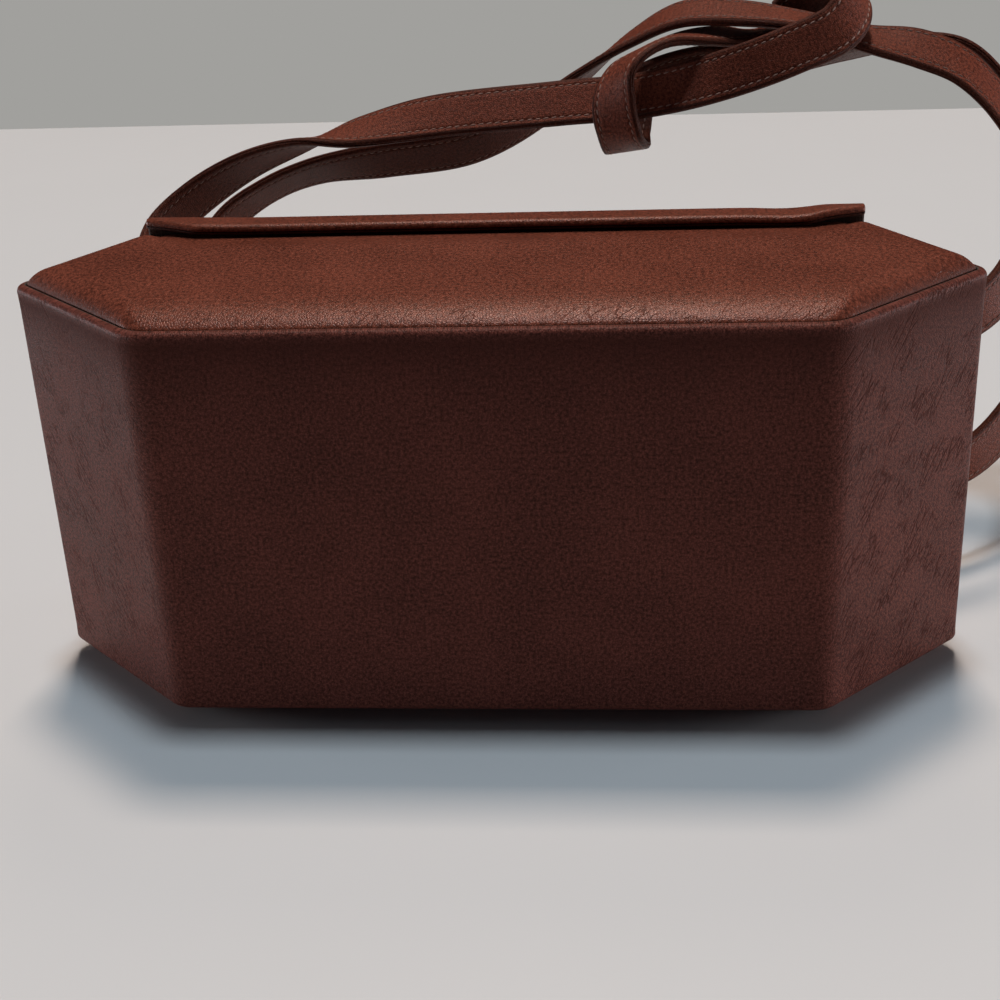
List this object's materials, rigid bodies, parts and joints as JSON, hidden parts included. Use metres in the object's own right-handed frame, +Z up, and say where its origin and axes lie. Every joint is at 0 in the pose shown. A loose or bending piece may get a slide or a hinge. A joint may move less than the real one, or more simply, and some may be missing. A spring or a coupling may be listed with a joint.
{
  "type": "vanity case",
  "caption": "Leather-covered six-sided box bag lying on its back panel, with padded front and back, a hinged lid with a short front lip, and leather straps tied in a loose half knot.",
  "frame": {"origin": "middle of the back panel's flat face, on the surface that the case lies on", "axes": "+X along the case's width, +Y from the case's bottom towards its lid, +Z up through the front panel"},
  "size_m": [0.2847, 0.166, 0.1615],
  "materials": {
    "panel_leather": "semi-gloss grained",
    "band_leather": "semi-gloss grained",
    "strap_leather": "semi-gloss grained"
  },
  "bodies": {
    "case": {"side_band": "band_leather", "front_panel": "panel_leather", "back_panel": "panel_leather", "lid_hinge": "band_leather", "strap_one": "strap_leather", "strap_two": "strap_leather"},
    "lid": {"lid": "panel_leather"}
  },
  "joints": [
    {"name": "lid_hinge", "type": "hinge", "parent": "case", "child": "lid", "pos_m": [0, 0.038, 0.0014], "axis": [-1, 0, 0], "range_deg": [0, 90]}
  ]
}
